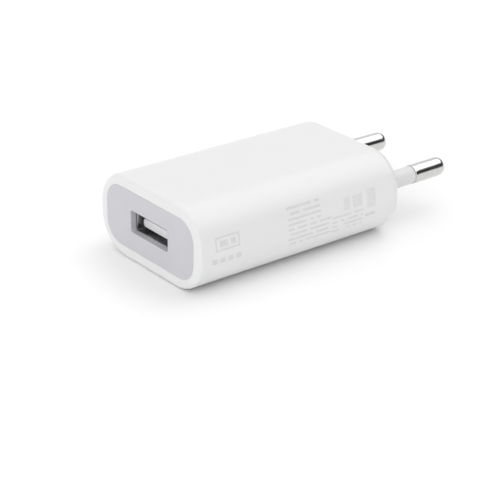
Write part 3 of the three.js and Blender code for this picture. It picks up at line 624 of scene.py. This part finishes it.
SHELL = shell_white()
CAP_GREY = moulding("cap_satin_grey", (0.585, 0.58, 0.61), (0.57, 0.565, 0.597), 0.4, 0.16, 0.006).material
SLEEVE = moulding("sleeve_satin_white", (0.74, 0.74, 0.745), (0.71, 0.71, 0.72), 0.36, 0.2, 0.003).material
PORT_WHITE = moulding("port_white", (0.93, 0.92, 0.93), (0.9, 0.89, 0.9), 0.33, 0.15, 0.004).material
NYLON = moulding("nylon_offwhite", (0.66, 0.64, 0.6), (0.6, 0.58, 0.53), 0.45, 0.2, 0.006).material
FILM = moulding("polyester_film", (0.78, 0.75, 0.68), (0.7, 0.67, 0.6), 0.32, 1.0, 0.01).material
PIN = metal("pin_nickel", (0.66, 0.655, 0.645), (0.6, 0.595, 0.585), 0.11, 1.2, (1, 14, 1), 0.0015).material
STEEL = metal("socket_steel", (0.5, 0.5, 0.51), (0.37, 0.37, 0.38), 0.38, 0.6, (6, 1, 6), 0.004).material
GOLD = metal("contact_gold", (0.75, 0.55, 0.24), (0.62, 0.42, 0.16), 0.2, 0.4, (4, 1, 4), 0.002).material
BRASS = metal("spring_brass", (0.66, 0.5, 0.22), (0.5, 0.35, 0.14), 0.3, 0.5, (4, 4, 1), 0.004).material
TINNED = metal("tinned_lead", (0.62, 0.62, 0.63), (0.45, 0.45, 0.47), 0.28, 0.3, (1, 1, 1), 0.01).material
COPPER = enamelled_copper()
TAPE = wrapped_tape()
FERRITE = speckled("ferrite", (0.03, 0.03, 0.032), (0.07, 0.07, 0.075), 0.6, 0.25, 0.02).material
SLEEVED = speckled("can_sleeve", (0.02, 0.022, 0.03), (0.035, 0.04, 0.055), 0.28, 0.7, 0.012).material
DIPPED = speckled("blue_dipped", (0.02, 0.13, 0.42), (0.03, 0.17, 0.5), 0.25, 0.8, 0.02).material
EPOXY = speckled("black_epoxy", (0.015, 0.015, 0.017), (0.03, 0.03, 0.032), 0.55, 0.12, 0.006).material
CERAMIC = speckled("lacquered_ceramic", (0.62, 0.5, 0.32), (0.55, 0.42, 0.25), 0.4, 0.4, 0.01).material

CARRIED = {
    NYLON: ["pin_carrier", "transformer_bobbin"],
    BRASS: ["pin_contact_left", "pin_contact_right"],
    FILM: ["insulating_sheet"],
    laminate(): ["main_board"],
    COPPER: ["transformer_winding", "filter_choke_winding"],
    TAPE: ["transformer_coil_tape", "transformer_core_tape"],
    FERRITE: ["transformer_core_left", "transformer_core_right", "filter_choke_core"],
    SLEEVED: [
        "output_capacitor_left",
        "output_capacitor_right",
        "bulk_capacitor_left",
        "bulk_capacitor_right",
        "auxiliary_capacitor",
    ],
    DIPPED: ["y_capacitor"],
    EPOXY: ["optocoupler", "output_diode", "bridge_rectifier", "switching_controller"],
    CERAMIC: ["fuse_resistor", "chip_capacitor_1", "chip_capacitor_2"],
    TINNED: [],
}
for number in range(1, 5):
    CARRIED[EPOXY].append(f"chip_resistor_{number}")
    CARRIED[TINNED].append(f"transformer_terminal_{number}")
for material, nodes in CARRIED.items():
    for node in nodes:
        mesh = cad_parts[node].data
        mesh.materials.clear()
        mesh.materials.append(material)

# ---------------------------------------------------------------- enclosure


def pin_place(side):
    """Where a pin is: its axis along Y, its origin where it leaves the plug face."""
    root = Matrix.Translation((side * PIN_ROOT_SPACING / 2, PLUG_FACE, MID))
    return root @ Matrix.Rotation(side * PIN_TILT, 4, "Z")


def pin_hole(side, y, steps=48):
    """The edge of a pin's round hole in a plane across Y."""
    centre = pin_place(side) @ Vector((0, (y - PLUG_FACE) / math.cos(PIN_TILT), 0))
    turns = [2 * math.pi * k / steps for k in range(steps)]
    return [centre + Vector((math.cos(a), 0, math.sin(a))) * PIN_HOLE_RADIUS for a in turns]


def body_shell():
    bm = bmesh.new()
    ledge = USB_FACE + CAP_THICKNESS
    inner_end = PLUG_FACE - PLUG_WALL
    start, end = USB_FACE + USB_EDGE, PLUG_FACE - PLUG_EDGE
    stations = [start + (end - start) * k / 12 for k in range(1, 12)]
    rings = [
        *rounding(CAVITY, inner_end, CAVITY_EDGE, -1, 5),
        *[at_y(ring(CAVITY), y) for y in stations[1:-1][::-1]],
        at_y(ring(CAVITY), ledge),
        at_y(ring(MOUTH), ledge),
        *rounding(MOUTH, USB_FACE, SMALL_EDGE, 1, 4, opening=True)[::-1],
        *rounding(BODY, USB_FACE, USB_EDGE, 1),
        *[at_y(ring(BODY), y) for y in stations],
        *rounding(BODY, PLUG_FACE, PLUG_EDGE, -1, 14)[::-1],
    ]
    made = loft(bm, rings)
    inner_holes = [add_ring(bm, pin_hole(side, inner_end)) for side in SIDES.values()]
    outer_holes = [add_ring(bm, pin_hole(side, PLUG_FACE)) for side in SIDES.values()]
    fill_between(bm, [made[0], *inner_holes])
    fill_between(bm, [made[-1], *outer_holes])
    for inner, outer in zip(inner_holes, outer_holes):
        bridge(bm, inner, outer)
    finished(bm, "shell_moulding", "charger", SHELL, "shell_plastic", "body_shell")


def hook(side):
    """The snap hook behind one end of the cap, its root inside the skirt."""
    root = USB_FACE + CAP_THICKNESS + HOOK_ROOT
    tip = USB_FACE + CAP_THICKNESS + HOOK_LENGTH
    inner, outer = SKIRT_INNER[0], SKIRT_OUTER[0]
    outline = [
        (inner + HOOK_BITE, root),
        (inner + HOOK_BITE, tip),
        (outer - HOOK_TIP_SLOPE, tip),
        (outer + HOOK_BARB, tip - HOOK_BARB_END),
        (outer + HOOK_BARB, tip - HOOK_BARB_START),
        (outer - HOOK_BITE, tip - HOOK_BARB_START),
        (outer - HOOK_BITE, root),
    ]
    bm = bmesh.new()
    levels = (MID - HOOK_HALF_HEIGHT, MID + HOOK_HALF_HEIGHT)
    loft(bm, [[Vector((side * x, y, z)) for x, y in outline] for z in levels], capped=True)
    bmesh.ops.bevel(bm, geom=list(bm.edges), offset=HOOK_EDGE * MM, segments=2, affect="EDGES", profile=0.5)
    return bm


def end_cap():
    bm = bmesh.new()
    back = USB_FACE + CAP_THICKNESS
    skirt_end = back + SKIRT_DEPTH
    rings = [
        *rounding(CAP, USB_FACE, SMALL_EDGE, 1, 4),
        at_y(ring(CAP), back),
        at_y(ring(SKIRT_OUTER), back),
        at_y(ring(SKIRT_OUTER), skirt_end - SKIRT_CHAMFER),
        at_y(ring(SKIRT_OUTER, SKIRT_CHAMFER), skirt_end),
        at_y(ring(SKIRT_INNER), skirt_end),
        at_y(ring(SKIRT_INNER), back),
        at_y(ring(PORT), back),
        *rounding(PORT, USB_FACE, SMALL_EDGE, 1, 4, opening=True)[::-1],
    ]
    loft(bm, rings, closed=True)
    bm = combined(bm, add=[hook(side) for side in SIDES.values()])
    finished(bm, "end_cap_moulding", "charger", CAP_GREY, "cap_plastic", "usb_end_cap")


# ---------------------------------------------------------------- pins


def pin(name, side):
    bare = PIN_REACH - PIN_BARE
    profile = [
        (0, PIN_TAIL),
        *rounded_end(PIN_TAIL_RADIUS, PIN_TAIL, -PIN_TAIL_EDGE, 3)[::-1],
        (PIN_TAIL_RADIUS, FLANGE[0] - PIN_STEP[0]),
        (SHANK_RADIUS, FLANGE[0] - PIN_STEP[1]),
        (SHANK_RADIUS, FLANGE[0]),
        (FLANGE_RADIUS, FLANGE[0]),
        (FLANGE_RADIUS, FLANGE[1]),
        (SHANK_RADIUS, FLANGE[1]),
        (SHANK_RADIUS, bare),
        *rounded_end(PIN_RADIUS, bare, -PIN_SHOULDER, 3)[::-1],
        *[(PIN_RADIUS, bare + 1 + k) for k in range(6)],
        *rounded_end(PIN_RADIUS, PIN_REACH, PIN_TIP_RADIUS, 14),
        (0, PIN_REACH),
    ]
    bm = lathe(profile, pin_place(side), 72)
    finished(bm, f"pin_{name}", "charger", PIN, "pin_metal", f"mains_pin_{name}")


def sleeve(name, side):
    end = PIN_REACH - PIN_BARE - SLEEVE_END_GAP
    flare = []
    for k in range(9):
        swell = (SLEEVE_ROOT_RADIUS - SLEEVE_RADIUS) * (1 - math.sin(k / 8 * math.pi / 2))
        flare.append((SLEEVE_RADIUS + swell, SLEEVE_FLARE * k / 8))
    profile = [
        (SLEEVE_BORE, COLLAR[0]),
        *rounded_end(COLLAR_RADIUS, COLLAR[0], -COLLAR_EDGE, 2)[::-1],
        *rounded_end(COLLAR_RADIUS, COLLAR[1], COLLAR_EDGE, 2),
        (SLEEVE_ROOT_RADIUS, COLLAR[1]),
        *flare,
        *[(SLEEVE_RADIUS, SLEEVE_FLARE + 1.5 * k) for k in range(1, 6)],
        *rounded_end(SLEEVE_RADIUS, end, SLEEVE_END_EDGE, 4),
        (SLEEVE_BORE, end),
        (SLEEVE_BORE, COLLAR[0]),
    ]
    bm = lathe(profile, pin_place(side))
    finished(bm, f"sleeve_{name}", "charger", SLEEVE, "pin_sleeve_plastic", f"pin_sleeve_{name}")


# ---------------------------------------------------------------- USB port


def finger(wall, inward, placed):
    """A retention finger bent out of a wall: it dips into the bore and turns back at its tip."""
    path = smooth_path([(FINGER_ROOT + back, wall + inward * dip) for back, dip in FINGER_PATH])
    return ribbon(path, FINGER_WINDOW_HALF - FINGER_SLOT, FINGER_THICKNESS, placed)


def board_leg(wall):
    """A leg that runs up from the middle of a side wall and through the board."""
    rise = box_mm("usb_socket_shell")[1].z - MID
    middle = LEG_FRONT + LEG_WIDTH / 2

    def placed(p, across):
        return Vector((p.x, middle + across, p.y))

    path = [Vector((wall, MID + rise * k / 6)) for k in range(7)]
    return ribbon(path, LEG_WIDTH / 2, LEG_THICKNESS, placed)


def socket_tube():
    """The plain rolled tube of the socket shell."""
    outer = tuple(value + SOCKET_WALL for value in SOCKET)
    rear = SOCKET_FRONT + SOCKET_LENGTH
    lip = SOCKET_LIP
    shape = {"corner_steps": 8, "flat_steps": 8}
    middle = [SOCKET_FRONT + lip, SOCKET_FRONT + 2, FINGER_ROOT, rear - lip]
    rings = [
        at_y(ring(outer, lip, **shape), SOCKET_FRONT),
        *[at_y(ring(outer, **shape), y) for y in middle],
        at_y(ring(outer, lip, **shape), rear),
        at_y(ring(SOCKET, -lip, **shape), rear),
        *[at_y(ring(SOCKET, **shape), y) for y in reversed(middle)],
        at_y(ring(SOCKET, -lip, **shape), SOCKET_FRONT),
    ]
    bm = bmesh.new()
    loft(bm, rings, closed=True)
    return bm


def socket_shell():
    half_width, half_height, _ = SOCKET
    front, rear = FINGER_ROOT - FINGER_LENGTH - FINGER_TIP_GAP, FINGER_ROOT
    wide, tall = half_width + OVERCUT, half_height + OVERCUT
    windows = [block((-wide, front, MID - FINGER_WINDOW_HALF), (wide, rear, MID + FINGER_WINDOW_HALF))]
    formed = []
    for side in SIDES.values():
        x = side * FINGER_SPACING
        left, right = x - FINGER_WINDOW_HALF, x + FINGER_WINDOW_HALF
        windows.append(block((left, front, MID - tall), (right, rear, MID + tall)))
        for level in (1, -1):
            wall = MID + level * (half_height + SOCKET_WALL / 2)
            formed.append(finger(wall, -level, lambda p, across, x=x: Vector((x + across, p.x, p.y))))
        wall = side * (half_width + SOCKET_WALL / 2)
        inward = -side * SIDE_FINGER_DIP
        formed.append(finger(wall, inward, lambda p, across: Vector((p.y, p.x, MID + across))))
        formed.append(board_leg(wall))
    bm = combined(combined(socket_tube(), cut=windows), add=formed)
    finished(bm, "port_shell", "charger", STEEL, "socket_steel", "usb_socket_shell")


def insulator():
    """The block at the back of the port and the tongue out of it, with a groove for each contact."""
    shape = {"corner_steps": 10, "flat_steps": 6}
    rings = rounding(TONGUE, TONGUE_FRONT, TONGUE_EDGE, 1, 4, middle=TONGUE_MID, **shape)
    rings += [at_y(ring(TONGUE, **shape), y, TONGUE_MID) for y in (TONGUE_FRONT + 4, BLOCK_FRONT + 0.6)]
    tongue = bmesh.new()
    loft(tongue, rings, capped=True)

    rear = bmesh.new()
    places = [
        (BLOCK_FRONT, BLOCK_EDGE),
        (BLOCK_FRONT + BLOCK_EDGE, 0),
        (BLOCK_REAR - BLOCK_EDGE, 0),
        (BLOCK_REAR, BLOCK_EDGE),
    ]
    loft(rear, [at_y(ring(REAR_BLOCK, inset, 4, 4), y) for y, inset in places], capped=True)

    grooves = []
    for x in CONTACTS.values():
        left, right = x - GROOVE_HALF_WIDTH, x + GROOVE_HALF_WIDTH
        tongue_high = (right, BLOCK_FRONT + OVERCUT, TONGUE_TOP + OVERCUT)
        block_high = (right, BLOCK_REAR + OVERCUT, BLOCK_GROOVE_TOP)
        grooves.append(block((left, GROOVE_FRONT, GROOVE_FLOOR), tongue_high))
        grooves.append(block((left, BLOCK_FRONT - OVERCUT, GROOVE_FLOOR), block_high))
    bm = combined(tongue, add=[rear], cut=grooves)
    finished(bm, "port_insulator", "charger", PORT_WHITE, "nylon", "usb_socket_insulator")


def contact(node, x):
    """A contact spring: a bowed pad at the front of its groove, a flat root, and a tail up to the board."""
    tail, root = CONTACT_TAIL, CONTACT_ROOT
    path = smooth_path(
        [
            *[(USB_FACE + back, TONGUE_TOP + rise) for back, rise in CONTACT_PAD],
            *[(USB_FACE + back, root) for back in CONTACT_FLAT],
            (tail - 0.45, root),
            (tail - 0.1, root + 0.12),
            (tail, root + 0.5),
            (tail, root + 2.5),
            (tail, box_mm(node)[1].z),
        ]
    )

    def placed(p, across):
        return Vector((x + across, p.x, p.y))

    bm = ribbon(path, CONTACT_HALF_WIDTH, CONTACT_THICKNESS, placed)
    finished(bm, f"{node}_strip", f"{node}_spring", GOLD, "contact_brass", node)


body_shell()
end_cap()
for name, side in SIDES.items():
    pin(name, side)
    sleeve(name, side)
socket_shell()
insulator()
for node, x in CONTACTS.items():
    contact(node, x)

# ---------------------------------------------------------------- floor, light and camera

FLOOR_HALF_SIZE = 3.0  # metres, as is the drop
FLOOR_DROP = 0.00005


def floor():
    bm = bmesh.new()
    corners = ((-1, -1), (1, -1), (1, 1), (-1, 1))
    bm.faces.new([bm.verts.new((x * FLOOR_HALF_SIZE, y * FLOOR_HALF_SIZE, -FLOOR_DROP)) for x, y in corners])
    made = linked_object("floor", bm)
    s = Surface("floor_pale", (0.97, 0.97, 0.97), 0.6)
    s.tint(s.remap(s.noise(60, 3), 0.3, 0.7), (0.965, 0.965, 0.965))
    made.data.materials.append(s.material)


# A spot's angles are where it fades out and where it is full. The band's heights are sines of elevation.
SKY = 0.885
KEY_GAIN = 1.0
KEY_TOWARD = Vector((0.1, 0.57, 0.82)).normalized()
KEY_ANGLES = (44, 24)
FILL_GAIN = 0.8
FILL_TOWARD = Vector((0.88, -0.45, 0.1)).normalized()
FILL_ANGLES = (60, 20)
BAND_TONE = 0.05
BAND_TOWARD = Vector((0.62, 0.78, 0))
BAND_HEIGHTS = (0.0, 0.14, 0.5, 0.66)


def studio():
    """A white tent: a soft key above the pins, a low fill, and a dark gap low down behind the pins.

    The camera itself sees plain white beyond the floor.
    """
    world = bpy.data.worlds.new("studio")
    bpy.context.scene.world = world
    world.use_nodes = True
    s = Nodes(world.node_tree)
    toward = s.node("ShaderNodeTexCoord").outputs["Generated"]

    def spot(direction, angles):
        outer, inner = (math.cos(math.radians(angle)) for angle in angles)
        return s.remap(s.along(toward, direction), outer, inner)

    height = s.axes(toward)["Z"]
    low, low_full, high_full, high = BAND_HEIGHTS
    band = s.product(
        s.remap(height, low, low_full),
        s.remap(height, high_full, high, 1, 0),
        s.remap(s.along(toward, BAND_TOWARD), 0.1, 0.5),
    )
    key = s.product(spot(KEY_TOWARD, KEY_ANGLES), KEY_GAIN)
    fill = s.product(spot(FILL_TOWARD, FILL_ANGLES), FILL_GAIN)
    bright = s.math("ADD", s.math("ADD", key, fill), SKY)
    level = s.product(bright, s.math("SUBTRACT", 1, s.product(band, 1 - BAND_TONE)))
    seen = s.node("ShaderNodeLightPath").outputs["Is Camera Ray"]
    lit = s.product(level, s.math("SUBTRACT", 1, seen))
    background = s.tree.nodes["Background"]
    s.put(background.inputs["Strength"], s.math("ADD", lit, seen))
    background.inputs["Color"].default_value = (1, 1, 1.003, 1)


CAMERA_AZIMUTH = 51.256
CAMERA_ELEVATION = 24.674
CAMERA_ROLL = 0.937
CAMERA_DISTANCE = 334.97
CAMERA_LENS = 122.88
CAMERA_AIM = Vector((-2.662, USB_FACE + 24.635, MID - 9.601))


def camera():
    data = bpy.data.cameras.new("camera")
    data.sensor_width = 36
    data.lens = CAMERA_LENS
    data.clip_start = 0.01
    made = bpy.data.objects.new("camera", data)
    azimuth, elevation = math.radians(CAMERA_AZIMUTH), math.radians(CAMERA_ELEVATION)
    level = math.cos(elevation)
    back = Vector((math.sin(azimuth) * level, -math.cos(azimuth) * level, math.sin(elevation)))
    made.location = (CAMERA_AIM + back * CAMERA_DISTANCE) * MM
    look = back.to_track_quat("Z", "Y").to_matrix()
    made.rotation_euler = (look @ Matrix.Rotation(math.radians(CAMERA_ROLL), 3, "Z")).to_euler()
    bpy.context.scene.collection.objects.link(made)
    bpy.context.scene.camera = made


floor()
studio()
camera()
bpy.context.scene.view_settings.view_transform = "Standard"
